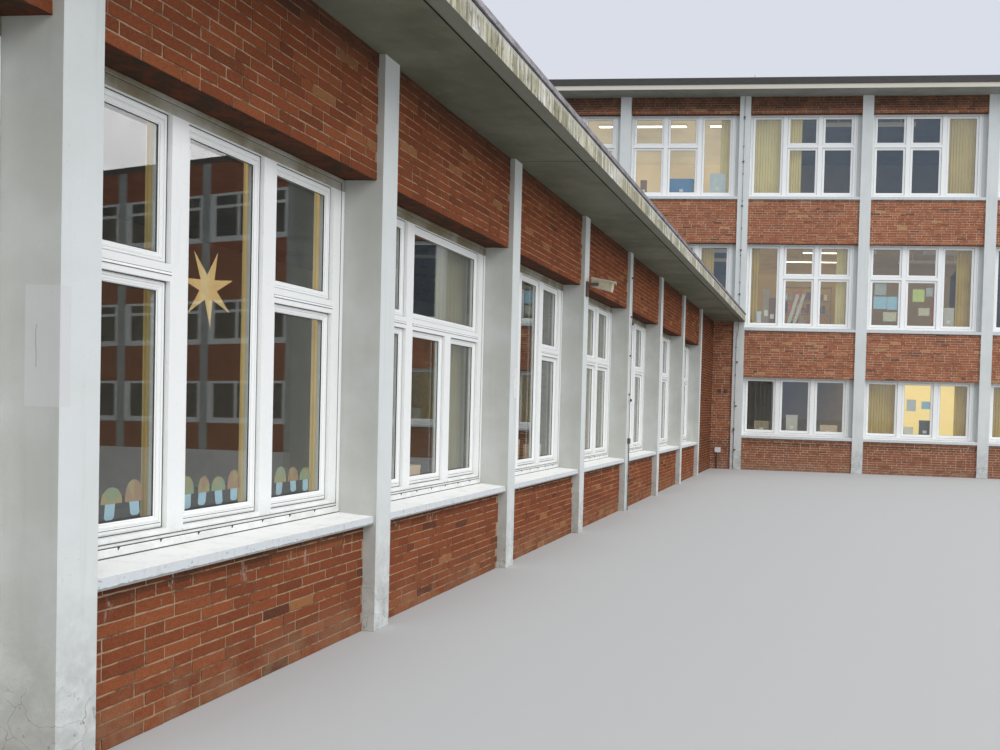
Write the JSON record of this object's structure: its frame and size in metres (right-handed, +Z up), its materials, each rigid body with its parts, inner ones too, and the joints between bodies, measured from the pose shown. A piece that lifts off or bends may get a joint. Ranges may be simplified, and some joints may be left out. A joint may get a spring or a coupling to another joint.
{
  "type": "school building",
  "caption": "Low classroom wing that meets a three-storey block: concrete piers, red brick panels, white windows and flat overhanging roofs.",
  "frame": {"origin": "centre of the outline at ground level", "axes": "+Z up; the wing runs along +Y and its courtyard front faces +X; the block crosses its far end and its courtyard front faces -Y"},
  "size_m": [20.103, 32.634, 10.118],
  "materials": {
    "brick": "red facing brick in pale mortar, matt",
    "curtain_yellow": "ochre curtain cloth",
    "dark_pipe": "black",
    "floor_screed": "matt",
    "glass": "clear, greenish at the edge",
    "inner_plaster": "cream emulsion, matt",
    "lamp_shell": "beige, weathered",
    "lamp_steel": "dark brown, rusty at the bolts",
    "lightning_rod": "dull drawn aluminium",
    "painted_concrete": "blue-grey masonry paint, matt, rain-streaked near the ground",
    "paper": "coloured paper cut-outs behind the panes, matt",
    "roof_concrete": "grey-green soffit, pale peeling paint on the edge",
    "roof_edge_metal": "weathered dark grey",
    "roof_felt": "matt mineral felt",
    "room_things": "shelves and boxes seen through the panes, matt",
    "seal_rubber": "black seals and drain caps of the windows",
    "service_plastic": "off-white",
    "tube_lamp": "lit fluorescent tubes in white housings",
    "white_sill": "white masonry paint on concrete, dirty at the back",
    "window_frame": "white, slightly glossy"
  },
  "bodies": {
    "root": {"block_corridor_walls": "inner_plaster", "block_floors": "floor_screed", "block_front_bricks": "brick", "block_front_frames": "window_frame", "block_front_glass": "glass", "block_front_jambs": "painted_concrete", "block_front_piers": "painted_concrete", "block_front_sills": "white_sill", "block_left_wall": "brick", "block_rear_bricks": "brick", "block_rear_frames": "window_frame", "block_rear_glass": "glass", "block_rear_piers": "painted_concrete", "block_rear_sills": "white_sill", "block_right_wall": "brick", "block_roof_edge": "roof_edge_metal", "block_roof_felt": "roof_felt", "block_roof_slab": "roof_concrete", "camera_bracket": "lamp_steel", "camera_housing": "lamp_shell", "ceiling_lamps": "tube_lamp", "lightning_conductors": "lightning_rod", "service_box": "service_plastic", "service_pipe": "dark_pipe", "wall_fittings": "service_plastic", "wing_corner_walls": "brick", "wing_corridor_wall": "inner_plaster", "wing_end_wall": "brick", "wing_floor": "floor_screed", "wing_front_aprons": "brick", "wing_front_frames": "window_frame", "wing_front_glass": "glass", "wing_front_heads": "brick", "wing_front_piers": "painted_concrete", "wing_front_sills": "white_sill", "wing_rear_aprons": "brick", "wing_rear_frames": "window_frame", "wing_rear_glass": "glass", "wing_rear_heads": "brick", "wing_rear_piers": "painted_concrete", "wing_rear_sills": "white_sill", "wing_roof_edge": "roof_edge_metal", "wing_roof_felt": "roof_felt", "wing_roof_slab": "roof_concrete"}
  },
  "joints": []
}
